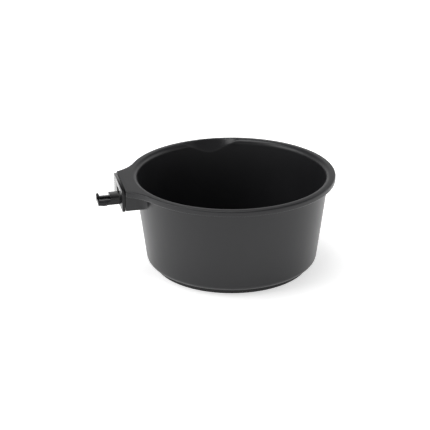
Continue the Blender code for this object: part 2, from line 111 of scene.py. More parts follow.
class BowlSizes(PropertyGroup):
    rim_radius: length("Rim radius", 0.0635, "Outer edge of the rim")
    wall_top_radius: length("Wall top radius", 0.0590, "Outside of the wall, under the rim")
    heel_radius: length("Heel radius", 0.0530, "Outside of the wall, where the heel's round starts")
    wall: length("Wall", 0.0020, "Wall thickness")
    floor: length("Floor", 0.0028, "Floor thickness over the foot")
    rim_depth: length("Rim depth", 0.0035, "Height of the rim's outer band")
    rim_edge_round: length("Rim edge round", 0.0008, "Rounding of the rim's outer edges")
    rim_fall: length("Rim fall", 0.0001, "Fall of the rim's top to its edge")
    fall_start: FloatProperty(name="Fall start", description="Place along X where the rim starts to fall",
                              default=-0.047625, subtype="DISTANCE", unit="LENGTH", precision=5)
    fall_fade: length("Fall fade", 0.03175, "Length along X in which the fall becomes full")
    rim_root_round: length("Rim root round", 0.0015, "Fillet between the rim and the wall")
    rim_top_width: length("Rim top width", 0.0030, "Flat part of the rim's top")
    mouth_round: length("Mouth round", 0.0030, "Rounding from the rim's top into the bowl")
    heel_round: length("Heel round", 0.0038, "Round between the wall and the underside")
    inner_heel_round: length("Inner heel round", 0.0070, "Round between the wall and the floor inside")
    flare_shoulder: length("Flare shoulder", 0.0030, "Rim past the boss's side, at the boss's end")
    flare_radius: length("Flare radius", 0.0275, "Hollow curve from the rim into the boss")
    flare_corner: length("Flare corner", 0.0010, "Round of the flare's corner, seen from above")
    scoop_half_angle: FloatProperty(name="Scoop half angle", description="Half of the scoop's width",
                                    default=math.radians(19.5), subtype="ANGLE", unit="ROTATION")
    scoop_depth: length("Scoop depth", 0.0070, "Depth of the scoop on the inner wall")
    scoop_lip: length("Scoop lip", 0.0025, "Rim left outside the scoop")
    scoop_crest: share("Scoop crest", 0.35, "Rounding of the scoop's lowest line")
    scoop_edge: length("Scoop edge", 0.00035, "Half width of the round along the scoop's edges")
    boss_round: length("Boss round", 0.0008, "Rounding of the boss's bottom edges")
    boss_step: length("Boss step", 0.00002, "How far the boss's end stays behind the rim's")
    boss_fillet: length("Boss fillet", 0.0050, "Fillet between the boss's side and the wall")
    pocket_side_wall: length("Pocket side wall", 0.0022, "Boss's side, beside the latch's pocket")
    pocket_roof: length("Pocket roof", 0.0022, "Rim over the latch's pocket")
    pocket_floor: length("Pocket floor", 0.0015, "Boss's underside, below the latch's pocket")
    pocket_back_wall: length("Pocket back wall", 0.0013, "From the bowl's wall to the pocket")
    pocket_edge_round: length("Pocket edge round", 0.0004, "Rounding in the pocket's corners")
    key_radius: length("Key recess radius", 0.0451, "Recess for the foot pad in the underside")
    key_depth: length("Key recess depth", 0.0010, "Depth of that recess")
    columns: IntProperty(name="Columns", description="Faces round half of the bowl past the flare",
                         default=140, min=24, max=200)


class CouplingSizes(PropertyGroup):
    plate_thickness: length("Plate thickness", 0.0017, "Coupling plate")
    socket_width: length("Socket width", 0.0068, "Round-ended socket")
    socket_height: length("Socket height", 0.0038, "Round-ended socket")
    socket_land: length("Socket land", 0.0006, "Between the plug's top and the socket")
    plug_height: length("Plug height", 0.0044, "Plug block where it leaves the plate")
    plug_width: length("Plug width", 0.0108, "Plug, across both prongs")
    block_length: length("Block length", 0.0053, "Plug block, out from the plate")
    prong_gap: length("Prong gap", 0.0034, "Slot between the two prongs")
    crossbar: length("Crossbar", 0.0015, "Bar that ties the prongs at the tip")
    barb_length: length("Barb length", 0.0046, "Barb on the front prong")
    barb_proud: length("Barb height", 0.0008, "How far the barb stands out")
    foot_width: length("Foot block width", 0.0044, "Screw block behind the plate")
    foot_length: length("Foot block length", 0.0053, "Screw block behind the plate")
    foot_height: length("Foot block height", 0.0047, "Screw block behind the plate")
    ear_thickness: length("Ear thickness", 0.0012, "Ears that hold the pin")
    ear_length: length("Ear length", 0.0040, "Ears that hold the pin")
    ear_height: length("Ear height", 0.0026, "Ears that hold the pin")
    hook_length: length("Hook length", 0.0017, "Hook at the lever's tip")
    hook_rise: length("Hook rise", 0.00175, "Hook, over the lever's top")
    neck_height: length("Neck height", 0.00145, "Lever where it passes the plate")
    neck_room: length("Neck room", 0.00075, "Room below the neck for the lever's dip")
    neck_out: length("Neck length", 0.0006, "Neck outside the plate")
    eye_wall: length("Eye wall", 0.0008, "Wall round the pin's bore")
    tail_thickness: length("Tail thickness", 0.0014, "Lever's tail over the button")
    peg_radius: length("Peg radius", 0.0007, "Pegs that centre the spring")
    peg_height: length("Peg height", 0.0011, "Pegs that centre the spring")
    pilot_radius: length("Pilot hole radius", 0.00105, "Hole for a screw in its block")
    plug_corner: length("Plug corner", 0.0004, "Chamfer at the plug's tip and the barb")
    edge_round: length("Edge round", 0.00012, "Small round on all moulded edges")


class FixingSizes(PropertyGroup):
    wire_radius: length("Wire radius", 0.0002, "Spring wire")
    coil_radius: length("Coil radius", 0.0012, "Spring, at the middle of the wire")
    coil_turns: IntProperty(name="Coil turns", description="Turns of the spring", default=6, min=3, max=12)
    button_radius: length("Button radius", 0.0014, "Release button")
    button_dish: length("Button dish", 0.00015, "Hollow in the button's face")
    collar_radius: length("Collar radius", 0.0019, "Collar that holds the button in")
    collar_thickness: length("Collar thickness", 0.0006, "Collar that holds the button in")
    nose_radius: length("Nose radius", 0.0009, "Button's end under the lever's tail")
    shank_radius: length("Shank radius", 0.00075, "Screw, over its thread")
    screw_radius: length("Screw radius", 0.00062, "Screw's core")
    thread_height: length("Thread height", 0.00013, "Thread over the core")
    thread_pitch: length("Thread pitch", 0.0006, "From one thread to the next")
    thread_flank: length("Thread flank", 0.00012, "Half width of the thread, and the head's rim")
    head_radius: length("Head radius", 0.00175, "Screw head")
    cross_width: length("Cross width", 0.0005, "Recess in the screw's head")
    cross_span: length("Cross span", 0.0020, "Recess in the screw's head")
    cross_depth: length("Cross depth", 0.0006, "Recess in the screw's head")


class PadSizes(PropertyGroup):
    edge_round: length("Edge round", 0.0006, "Rounding of the pad's rim")
    soft_corner: length("Soft corner", 0.00012, "Small chamfer on the pad's other corners")
    hub_radius: length("Hub radius", 0.0150, "Disc in the middle that stands on the surface")
    tread_width: length("Tread width", 0.0070, "Ring that stands on the surface")
    tread_depth: length("Tread depth", 0.0006, "Hollow between the ring and the disc")
    key_radius: length("Key radius", 0.0448, "Raised disc that sits in the bowl's underside")
    key_height: length("Key height", 0.0010, "Height of that disc")
    groove_width: length("Groove width", 0.0007, "Grip grooves in the ring")
    groove_depth: length("Groove depth", 0.0003, "Grip grooves in the ring")


class Finishes(PropertyGroup):
    bowl: colour("Bowl colour", "#19191B", "Satin polypropylene")
    bowl_light: colour("Bowl light colour", "#1E1E20", "Paler flow in the polypropylene")
    coupling: colour("Coupling colour", "#08080A", "Polished ABS")
    pad: colour("Pad colour", "#161617", "Thermoplastic rubber")
    steel: colour("Steel colour", "#C4C5C6", "Stainless steel")
    table: colour("Table colour", "#FBFBFB", "Opal acrylic table")
    table_light: FloatProperty(name="Table light", description="Radiance of the table's lit sheet",
                               default=0.6, min=0.0)
    bowl_roughness: share("Bowl roughness", 0.34, "Satin polypropylene")
    coupling_roughness: share("Coupling roughness", 0.16, "Polished ABS")
    bowl_grain: length("Bowl grain", 0.0005, "Grain of the mould, drawn coarser than the real 0.1 mm")


class StageSettings(PropertyGroup):
    distance: length("Camera distance", 0.7948, "From the middle of the bowl's mouth")
    azimuth: FloatProperty(name="Camera azimuth", description="Round the bowl from its front",
                           default=math.radians(-14.0), subtype="ANGLE", unit="ROTATION")
    elevation: FloatProperty(name="Camera elevation", description="Over the level of the mouth",
                             default=math.radians(21.0), subtype="ANGLE", unit="ROTATION")
    lens: FloatProperty(name="Lens", description="Focal length in millimetres", default=108.84,
                        subtype="DISTANCE_CAMERA", unit="CAMERA")
    shift_x: FloatProperty(name="Shift X", description="Sideways shift of the lens", default=-0.0385)
    shift_y: FloatProperty(name="Shift Y", description="Upward shift of the lens", default=-0.1010)
    surround_low: FloatProperty(name="Low surround", description="Radiance of the surround at its foot",
                                default=1.0, min=0.0)
    surround_high: FloatProperty(name="High surround", description="Radiance of the surround overhead",
                                 default=0.1, min=0.0)
    surround_fade: FloatProperty(name="Surround fade", description="Height angle where it has faded",
                                 default=math.radians(45.0), subtype="ANGLE", unit="ROTATION")
    main_light: FloatProperty(name="Main light", description="Power of the left softbox", default=6.0,
                              unit="POWER", min=0.0)
    top_light: FloatProperty(name="Top light", description="Power of the overhead softbox", default=9.0,
                             unit="POWER", min=0.0)
    fill_light: FloatProperty(name="Fill light", description="Power of the right softbox", default=1.6,
                              unit="POWER", min=0.0)
    main_spot: spot("Main light's place", (-0.95, 0.05, 0.72), "Middle of the left softbox")
    fill_spot: spot("Fill light's place", (1.05, 0.25, 0.55), "Middle of the right softbox")
    top_spot: spot("Top light's place", (-0.1, 0.1, 1.3), "Middle of the overhead softbox")
    softbox_width: length("Softbox width", 0.9, "Width of all three softboxes")
    softbox_height: length("Softbox height", 0.7, "Height of the left and right softboxes")
    table_size: length("Table size", 8.0, "Width of the studio table")


# Modelling

def only(piece):
    """Select one piece and nothing else."""
    if bpy.context.object and bpy.context.object.mode != "OBJECT":
        bpy.ops.object.mode_set(mode="OBJECT")
    bpy.ops.object.select_all(action="DESELECT")
    if piece:
        piece.select_set(True)
        bpy.context.view_layer.objects.active = piece


def at_origin(name):
    """Name the new primitive and put its place into its mesh."""
    piece = bpy.context.active_object
    piece.name = name
    piece.data.name = name
    bpy.ops.object.transform_apply(location=True, rotation=True, scale=True)
    return piece


def arc(centre, radius, start, end, count):
    """Points on an arc from one angle to another, both ends included."""
    return [(centre[0] + radius * math.cos(start + (end - start) * i / count),
             centre[1] + radius * math.sin(start + (end - start) * i / count))
            for i in range(count + 1)]


def spread(start, end, count):
    """Evenly spaced values after start, up to and with end."""
    return [start + (end - start) * i / count for i in range(1, count + 1)]


def lofted(name, rings):
    """Extrude a wire circle ring by ring, setting each ring in its place, and close both ends."""
    only(None)
    bpy.ops.mesh.primitive_circle_add(vertices=len(rings[0]), radius=0.01, fill_type="NOTHING")
    piece = at_origin(name)
    bpy.ops.object.mode_set(mode="EDIT")
    bpy.ops.mesh.select_mode(type="EDGE")
    bm = bmesh.from_edit_mesh(piece.data)
    column = bm.verts.layers.int.new("column")
    for number, corner in enumerate(sorted(bm.verts, key=lambda v: math.atan2(v.co.y, v.co.x))):
        corner[column] = number
        corner.co = rings[0][number]
    bpy.ops.mesh.select_all(action="SELECT")
    bpy.ops.mesh.edge_face_add()
    for ring in rings[1:]:
        bpy.ops.mesh.extrude_edges_move()
        bm = bmesh.from_edit_mesh(piece.data)
        column = bm.verts.layers.int["column"]
        for corner in bm.verts:
            if corner.select:
                corner.co = ring[corner[column]]
    bpy.ops.mesh.edge_face_add()
    bpy.ops.mesh.select_all(action="SELECT")
    bpy.ops.mesh.normals_make_consistent(inside=False)
    bpy.ops.object.mode_set(mode="OBJECT")
    piece.data.attributes.remove(piece.data.attributes["column"])
    return piece


def turned(name, profile, centre=(0.0, 0.0), columns=48):
    """A closed turned piece from a (radius, z) profile that starts and ends in a flat end."""
    turns = [2 * math.pi * i / columns - math.pi for i in range(columns)]
    return lofted(name, [[(centre[0] + radius * math.cos(turn), centre[1] + radius * math.sin(turn), z)
                          for turn in turns] for radius, z in profile])


def sideways(name, outline, low, high, axis):
    """Extrude a closed outline along X, with (y, z) points, or along Y, with (x, z) points."""
    if axis == "X":
        return lofted(name, [[(along, a, b) for a, b in outline] for along in (low, high)])
    return lofted(name, [[(a, along, b) for a, b in outline] for along in (low, high)])


def upward(name, outline, low, high):
    return lofted(name, [[(a, b, z) for a, b in outline] for z in (low, high)])


def block(name, low, high, edge_round=0.0):
    """A block between two corners, with its edges rounded."""
    only(None)
    middle = [(a + b) / 2 for a, b in zip(low, high)]
    bpy.ops.mesh.primitive_cube_add(size=1.0, location=middle, scale=[b - a for a, b in zip(low, high)])
    piece = at_origin(name)
    if edge_round:
        bpy.ops.object.mode_set(mode="EDIT")
        bpy.ops.mesh.select_all(action="SELECT")
        bpy.ops.mesh.bevel(offset=edge_round, segments=3, affect="EDGES")
        bpy.ops.object.mode_set(mode="OBJECT")
    return piece


def combine(piece, tool, operation):
    """Join or cut a piece with a tool, then remove the tool."""
    modifier = piece.modifiers.new(operation.title(), "BOOLEAN")
    modifier.operation = operation
    modifier.solver = "EXACT"
    modifier.object = tool
    only(piece)
    bpy.ops.object.modifier_apply(modifier=modifier.name)
    bpy.data.objects.remove(tool)


def join(piece, *tools):
    for tool in tools:
        combine(piece, tool, "UNION")


def cut(piece, *tools):
    for tool in tools:
        combine(piece, tool, "DIFFERENCE")


def ease_edges(piece, width, segments=2):
    """Round all sharp edges by a small width."""
    only(piece)
    bpy.ops.object.mode_set(mode="EDIT")
    bpy.ops.mesh.select_all(action="SELECT")
    bpy.ops.mesh.remove_doubles(threshold=1e-6)
    bpy.ops.mesh.dissolve_limited(angle_limit=math.radians(0.5))
    bpy.ops.object.mode_set(mode="OBJECT")
    modifier = piece.modifiers.new("Edges", "BEVEL")
    modifier.width = width
    modifier.segments = segments
    modifier.limit_method = "ANGLE"
    modifier.angle_limit = math.radians(32)
    modifier.use_clamp_overlap = True
    bpy.ops.object.modifier_apply(modifier=modifier.name)


def finish_piece(piece, material, body, node, smooth=35):
    """Shade a piece, give it its material and let it stand for its node."""
    only(piece)
    bpy.ops.object.shade_smooth_by_angle(angle=math.radians(smooth))
    piece.data.materials.clear()
    piece.data.materials.append(material)
    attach(piece, body)
    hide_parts(node)
    return piece


# Materials

def linear(code):
    """An sRGB hex colour as linear RGBA."""
    parts = [int(code[i:i + 2], 16) / 255 for i in (1, 3, 5)]
    return [part / 12.92 if part <= 0.04045 else ((part + 0.055) / 1.055) ** 2.4 for part in parts] + [1.0]


def add_node(tree, kind, values=(), links=(), **settings):
    """Add a node, set its sockets and settings, and link what feeds it."""
    made = tree.nodes.new(kind)
    for name, value in settings.items():
        setattr(made, name, value)
    for name, value in dict(values).items():
        made.inputs[name].default_value = value
    for name, source in dict(links).items():
        tree.links.new(source, made.inputs[name])
    return made


def blank_material(name):
    material = bpy.data.materials.new(name)
    material.use_nodes = True
    material.node_tree.nodes.clear()
    return material, material.node_tree


def satin_moulded_polypropylene(looks):
    """Injection-moulded polypropylene from a spark-eroded mould: a soft, even satin with a very fine
    grain, faint flow in its colour, and slightly smoother where it has been wiped."""
    material, tree = blank_material("satin_moulded_polypropylene")
    place = add_node(tree, "ShaderNodeTexCoord").outputs["Object"]
    grain_scale = 1 / looks.bowl_grain
    flow = add_node(tree, "ShaderNodeTexNoise", {"Scale": 1 / 0.025, "Detail": 3.0, "Roughness": 0.5},
                    {"Vector": place})
    base = add_node(tree, "ShaderNodeMix", links={"Factor": flow.outputs["Fac"]}, data_type="RGBA")
    base.inputs[6].default_value = linear(looks.bowl)
    base.inputs[7].default_value = linear(looks.bowl_light)
    grain = add_node(tree, "ShaderNodeTexNoise", {"Scale": grain_scale, "Detail": 2.0, "Roughness": 0.6},
                     {"Vector": place})
    wiped = add_node(tree, "ShaderNodeTexNoise", {"Scale": 1 / 0.012, "Detail": 2.0}, {"Vector": place})
    rough = add_node(tree, "ShaderNodeMapRange",
                     {"To Min": looks.bowl_roughness - 0.025, "To Max": looks.bowl_roughness + 0.025},
                     {"Value": wiped.outputs["Fac"]})
    bump = add_node(tree, "ShaderNodeBump", {"Strength": 0.25, "Distance": 0.00002},
                    {"Height": grain.outputs["Fac"]})
    shader = add_node(tree, "ShaderNodeBsdfPrincipled", {"IOR": 1.49, "Specular IOR Level": 0.4},
                      {"Base Color": base.outputs[2], "Roughness": rough.outputs["Result"],
                       "Normal": bump.outputs["Normal"]})
    add_node(tree, "ShaderNodeOutputMaterial", links={"Surface": shader.outputs["BSDF"]})
    return material


def polished_moulded_abs(looks):
    """ABS from a polished mould: near black and glossy, with the slight waviness of shrinkage and
    fine rub marks from clipping and unclipping."""
    material, tree = blank_material("polished_moulded_abs")
    place = add_node(tree, "ShaderNodeTexCoord").outputs["Object"]
    waves = add_node(tree, "ShaderNodeTexNoise", {"Scale": 1 / 0.004, "Detail": 1.0}, {"Vector": place})
    stretched = add_node(tree, "ShaderNodeMapping", {"Scale": (0.15, 1.0, 1.0)}, {"Vector": place})
    rubs = add_node(tree, "ShaderNodeTexNoise", {"Scale": 1 / 0.0004, "Detail": 2.0},
                    {"Vector": stretched.outputs["Vector"]})
    rough = add_node(tree, "ShaderNodeMapRange",
                     {"From Min": 0.35, "From Max": 0.75, "To Min": looks.coupling_roughness - 0.03,
                      "To Max": looks.coupling_roughness + 0.08},
                     {"Value": rubs.outputs["Fac"]})
    shade = add_node(tree, "ShaderNodeMix", links={"Factor": waves.outputs["Fac"]}, data_type="RGBA")
    shade.inputs[6].default_value = linear(looks.coupling)
    shade.inputs[7].default_value = [part * 1.5 for part in linear(looks.coupling)[:3]] + [1.0]
    bump = add_node(tree, "ShaderNodeBump", {"Strength": 0.3, "Distance": 0.00002},
                    {"Height": waves.outputs["Fac"]})
    shader = add_node(tree, "ShaderNodeBsdfPrincipled", {"IOR": 1.54, "Specular IOR Level": 0.25},
                      {"Base Color": shade.outputs[2], "Roughness": rough.outputs["Result"],
                       "Normal": bump.outputs["Normal"]})
    add_node(tree, "ShaderNodeOutputMaterial", links={"Surface": shader.outputs["BSDF"]})
    return material


def moulded_thermoplastic_rubber(looks):
    """Soft thermoplastic rubber, moulded matt: a dull black with a fine even tooth and a few paler
    dusty patches."""
    material, tree = blank_material("moulded_thermoplastic_rubber")
    place = add_node(tree, "ShaderNodeTexCoord").outputs["Object"]
    dust = add_node(tree, "ShaderNodeTexNoise", {"Scale": 1 / 0.009, "Detail": 4.0, "Roughness": 0.65},
                    {"Vector": place})
    tooth = add_node(tree, "ShaderNodeTexNoise", {"Scale": 1 / 0.0004, "Detail": 2.0}, {"Vector": place})
    shade = add_node(tree, "ShaderNodeMix", links={"Factor": dust.outputs["Fac"]}, data_type="RGBA")
    shade.inputs[6].default_value = linear(looks.pad)
    shade.inputs[7].default_value = [part * 1.6 for part in linear(looks.pad)[:3]] + [1.0]
    rough = add_node(tree, "ShaderNodeMapRange", {"To Min": 0.62, "To Max": 0.78},
                     {"Value": dust.outputs["Fac"]})
    bump = add_node(tree, "ShaderNodeBump", {"Strength": 0.5, "Distance": 0.00003},
                    {"Height": tooth.outputs["Fac"]})
    shader = add_node(tree, "ShaderNodeBsdfPrincipled", {"IOR": 1.5},
                      {"Base Color": shade.outputs[2], "Roughness": rough.outputs["Result"],
                       "Normal": bump.outputs["Normal"]})
    add_node(tree, "ShaderNodeOutputMaterial", links={"Surface": shader.outputs["BSDF"]})
    return material


def drawn_stainless_steel(looks):
    """Stainless steel, drawn as wire and turned as screws: bright, with fine lines round the axis."""
    material, tree = blank_material("drawn_stainless_steel")
    place = add_node(tree, "ShaderNodeTexCoord").outputs["Object"]
    lines = add_node(tree, "ShaderNodeTexNoise", {"Scale": 1 / 0.00015, "Detail": 2.0}, {"Vector": place})
    shade = add_node(tree, "ShaderNodeMix", links={"Factor": lines.outputs["Fac"]}, data_type="RGBA")
    shade.inputs[6].default_value = linear(looks.steel)
    shade.inputs[7].default_value = [part * 0.75 for part in linear(looks.steel)[:3]] + [1.0]
    rough = add_node(tree, "ShaderNodeMapRange", {"To Min": 0.22, "To Max": 0.38},
                     {"Value": lines.outputs["Fac"]})
    shader = add_node(tree, "ShaderNodeBsdfPrincipled", {"Metallic": 1.0},
                      {"Base Color": shade.outputs[2], "Roughness": rough.outputs["Result"]})
    add_node(tree, "ShaderNodeOutputMaterial", links={"Surface": shader.outputs["BSDF"]})
    return material


def opal_acrylic_sheet(looks):
    """Studio table: opal acrylic sheet lit from below, matt and even, with a barely visible mottle."""
    material, tree = blank_material("opal_acrylic_sheet")
    place = add_node(tree, "ShaderNodeTexCoord").outputs["Object"]
    mottle = add_node(tree, "ShaderNodeTexNoise", {"Scale": 1 / 0.05, "Detail": 2.0}, {"Vector": place})
    shade = add_node(tree, "ShaderNodeMix", links={"Factor": mottle.outputs["Fac"]}, data_type="RGBA")
    shade.inputs[6].default_value = linear(looks.table)
    shade.inputs[7].default_value = [part * 0.985 for part in linear(looks.table)[:3]] + [1.0]
    shader = add_node(tree, "ShaderNodeBsdfPrincipled",
                      {"IOR": 1.49, "Roughness": 0.9, "Emission Strength": looks.table_light},
                      {"Base Color": shade.outputs[2], "Emission Color": shade.outputs[2]})
    add_node(tree, "ShaderNodeOutputMaterial", links={"Surface": shader.outputs["BSDF"]})
    return material


def material_named(maker, context):
    """Make each material once."""
    return bpy.data.materials.get(maker.__name__) or maker(context.scene.bowl_finishes)


# Bowl shell

def flare_half(bowl):
    """Half of the rim's outer edge from the middle of the boss's end to the far side, as pairs of a
    point and its outward direction.  Points are (distance towards the boss, distance sideways)."""
    end = -BOSS_END_X
    corner = (end, BOSS_SIDE + bowl.flare_shoulder)
    reach = bowl.rim_radius + bowl.flare_radius
    span = math.hypot(*corner)
    swing = math.acos((reach ** 2 + span ** 2 - bowl.flare_radius ** 2) / (2 * reach * span))
    tangent = math.atan2(corner[1], corner[0]) + swing
    hollow = (reach * math.cos(tangent), reach * math.sin(tangent))
    round_x = end - bowl.flare_corner
    away = bowl.flare_radius + bowl.flare_corner
    round_y = hollow[1] - math.sqrt(away ** 2 - (hollow[0] - round_x) ** 2)
    turn_end = math.atan2(hollow[1] - round_y, hollow[0] - round_x)
    half = [((end, round_y * i / 10), (1.0, 0.0)) for i in range(10)]
    for i in range(7):
        turn = turn_end * i / 6
        half.append(((round_x + bowl.flare_corner * math.cos(turn),
                      round_y + bowl.flare_corner * math.sin(turn)), (math.cos(turn), math.sin(turn))))
    hollow_start = turn_end + math.pi
    hollow_end = tangent + math.pi
    for turn in spread(hollow_start, hollow_end, 16):
        half.append(((hollow[0] + bowl.flare_radius * math.cos(turn),
                      hollow[1] + bowl.flare_radius * math.sin(turn)), (-math.cos(turn), -math.sin(turn))))
    for turn in spread(tangent, math.pi, bowl.columns):
        half.append(((bowl.rim_radius * math.cos(turn), bowl.rim_radius * math.sin(turn)),
                     (math.cos(turn), math.sin(turn))))
    return half


def rim_line(bowl):
    """The whole outer edge as (point, outward direction) pairs in the bowl's own axes."""
    half = flare_half(bowl)
    right = [((-x, y), (-nx, ny)) for (x, y), (nx, ny) in half]
    left = [((-x, -y), (-nx, -ny)) for (x, y), (nx, ny) in reversed(half[1:-1])]
    return right + left


def mouth_section(bowl, turn):
    """Section from the rim's top down the inner wall, at an angle from the scoop's middle.
    The scoop's face leaves the top at its lip and meets the mouth's round or the wall."""
    lip = bowl.rim_radius - bowl.scoop_lip
    mouth = bowl.rim_radius - bowl.rim_top_width
    bend = bowl.mouth_round
    inner = mouth - bend
    heel = bowl.heel_radius - bowl.wall
    heel_z = UNDERSIDE + bowl.floor + bowl.inner_heel_round
    lean = (inner - heel) / (RIM_TOP - bend - heel_z)
    crest = math.hypot(1, bowl.scoop_crest)
    offset = min(abs(turn) / bowl.scoop_half_angle, 1.0)
    rise = (crest - math.hypot(offset, bowl.scoop_crest)) / (crest - bowl.scoop_crest)
    slope = bowl.scoop_depth * rise / (lip - (bowl.wall_top_radius - bowl.wall))

    def over(angle):
        """Height of the mouth's round over the scoop's face."""
        radius = mouth + bend * math.cos(angle)
        return bend * math.sin(angle) - bend + slope * (lip - radius)

    if over(math.pi) <= 0:
        low, high = math.pi / 2, math.pi
        for _ in range(40):
            middle = (low + high) / 2
            low, high = (middle, high) if over(middle) > 0 else (low, middle)
        meet_angle = low
        meet = (mouth + bend * math.cos(low), RIM_TOP - bend + bend * math.sin(low))
    else:
        meet_angle = math.pi
        drop = (slope * (lip - inner) - bend) / (1 - slope * lean)
        meet = (inner - lean * drop, RIM_TOP - bend - drop)

    def along(distance):
        """Point on the mouth's round and the wall, a distance on from where the scoop meets it."""
        left = bend * (math.pi - meet_angle)
        if distance < left:
            angle = meet_angle + distance / bend
            return (mouth + bend * math.cos(angle), RIM_TOP - bend + bend * math.sin(angle))
        top_z = meet[1] if meet_angle == math.pi else RIM_TOP - bend
        z = top_z - (distance - left) / math.hypot(1, lean)
        return (inner - lean * (RIM_TOP - bend - z), z)

    run = math.hypot(1, slope)
    face = math.hypot(lip - meet[0], RIM_TOP - meet[1])
    edge = min(bowl.scoop_edge, face / 3)

    def down(distance):
        return (lip - distance / run, RIM_TOP - slope * distance / run)

    def eased(before, corner, after):
        return (before[0] / 4 + corner[0] / 2 + after[0] / 4, before[1] / 4 + corner[1] / 2 + after[1] / 4)

    section = [(lip + edge, RIM_TOP), eased((lip + edge, RIM_TOP), (lip, RIM_TOP), down(edge)), down(edge)]
    section += [down(distance) for distance in spread(edge, face - edge, 5)]
    section += [eased(down(face - edge), meet, along(edge)), along(edge)]
    rounded = max(bend * (math.pi - meet_angle), 3 * edge)
    section += [along(distance) for distance in spread(edge, rounded, 6)]
    start_z = section[-1][1]
    calm_z = RIM_TOP - 2 * bowl.scoop_depth
    section += [(inner - lean * (RIM_TOP - bend - z), z) for z in spread(start_z, calm_z, 5)]
    section += [(inner - lean * (RIM_TOP - bend - z), z) for z in spread(calm_z, heel_z, 12)]
    return section


def outer_section(bowl):
    """(radius, z) from the key recess round the heel and up the wall to the rim's root."""
    recess_z = UNDERSIDE + bowl.key_depth
    heel_z = UNDERSIDE + bowl.heel_round
    rim_under = RIM_TOP - bowl.rim_depth
    root = bowl.rim_root_round
    lean = (bowl.wall_top_radius - bowl.heel_radius) / (rim_under - heel_z)
    tilt = math.atan(lean)
    section = [(bowl.key_radius, recess_z), (bowl.key_radius, UNDERSIDE)]
    section += arc((bowl.heel_radius - bowl.heel_round, heel_z), bowl.heel_round, -math.pi / 2, -tilt, 12)
    root_arc = arc((bowl.wall_top_radius + root, rim_under - root), root, math.pi - tilt, math.pi / 2, 8)
    foot, head = section[-1], root_arc[0]
    section += [(foot[0] + (head[0] - foot[0]) * part, foot[1] + (head[1] - foot[1]) * part)
                for part in spread(0, 1, 14)[:-1]]
    return section + root_arc


def shell_rings(bowl):
    """All rings of the shell, from the recess underneath to the floor inside."""
    line = rim_line(bowl)
    turns = [math.atan2(y, x) for (x, y), _ in line]
    edge = bowl.rim_edge_round
    rim_under = RIM_TOP - bowl.rim_depth

    def circle(radius, z):
        return [(radius * math.cos(turn), radius * math.sin(turn), z) for turn in turns]

    def outline(inset, z):
        return [(x - nx * inset, y - ny * inset, z) for (x, y), (nx, ny) in line]

    def fallen(ring):
        """Lower a ring to the fall of the rim's top, which fades out towards the boss."""
        lowered = []
        for x, y, z in ring:
            part = min(max((x - bowl.fall_start) / bowl.fall_fade, 0.0), 1.0)
            lowered.append((x, y, z - bowl.rim_fall * part * part * (3 - 2 * part)))
        return lowered

    def between(inner, outer, part):
        return [tuple(a + (b - a) * part for a, b in zip(near, far)) for near, far in zip(inner, outer)]

    rings = [circle(radius, z) for radius, z in outer_section(bowl)]
    root, under_edge = rings[-1], outline(edge, rim_under)
    rings += [between(root, under_edge, part) for part in (0.33, 0.66, 1.0)]
    for turn in spread(0, math.pi / 2, 5):
        rings.append(outline(edge * (1 - math.sin(turn)), rim_under + edge * (1 - math.cos(turn))))
    for z in spread(rim_under + edge, RIM_TOP - edge, 3):
        rings.append(outline(0.0, z))
    for turn in spread(0, math.pi / 2, 5):
        rings.append(fallen(outline(edge * (1 - math.cos(turn)), RIM_TOP - edge * (1 - math.sin(turn)))))
    sections = [mouth_section(bowl, abs(turn) - math.pi / 2 if turn > 0 else math.pi) for turn in turns]
    mouth_rings = [[(radius * math.cos(turn), radius * math.sin(turn), z)
                    for turn, (radius, z) in zip(turns, ring)] for ring in zip(*sections)]
    top_edge = rings[-1]
    rings += [between(top_edge, mouth_rings[0], part) for part in (0.33, 0.66)]
    rings += mouth_rings
    floor_z = UNDERSIDE + bowl.floor
    heel = (bowl.heel_radius - bowl.wall - bowl.inner_heel_round, floor_z + bowl.inner_heel_round)
    rings += [circle(radius, z) for radius, z in arc(heel, bowl.inner_heel_round, 0.0, -math.pi / 2, 14)[1:]]
    rings += [circle(heel[0] * part, floor_z) for part in (0.75, 0.5)]
    return rings


def boss_ring(bowl, z, inset):
    """The boss from above at one height: square end, sides, fillets into the wall, and a back that
    runs round inside the wall."""
    heel_z = UNDERSIDE + bowl.heel_round
    rim_under = RIM_TOP - bowl.rim_depth
    lean = (bowl.wall_top_radius - bowl.heel_radius) / (rim_under - heel_z)
    wall = bowl.wall_top_radius - lean * max(rim_under - z, 0.0)
    side = BOSS_SIDE - inset
    grown = min(max((z - BOSS_BOTTOM) / bowl.boss_fillet, 0.0), 1.0)
    fillet = bowl.boss_fillet * math.sqrt(1 - (1 - grown) ** 2) + bowl.boss_round / 8
    centre_x = math.sqrt((wall + fillet) ** 2 - (side + fillet) ** 2)
    touch = math.atan2(side + fillet, centre_x)
    end = -BOSS_END_X - bowl.boss_step
    half = [(end, side * part) for part in (0.0, 0.35, 0.7)]
    half += [(end, side)]
    half += [(end + (centre_x - end) * part, side) for part in (0.25, 0.5, 0.75)]
    half += arc((centre_x, side + fillet), fillet, -math.pi / 2, touch - math.pi, 10)
    buried = wall - bowl.wall / 2
    half += [(buried * math.cos(touch * part), buried * math.sin(touch * part))
             for part in (1.0, 0.85, 0.7, 0.55, 0.4, 0.25, 0.1, 0.0)]
    back = [(-x, y, z) for x, y in half]
    front = [(-x, -y, z) for x, y in reversed(half[1:-1])]
    return back + front


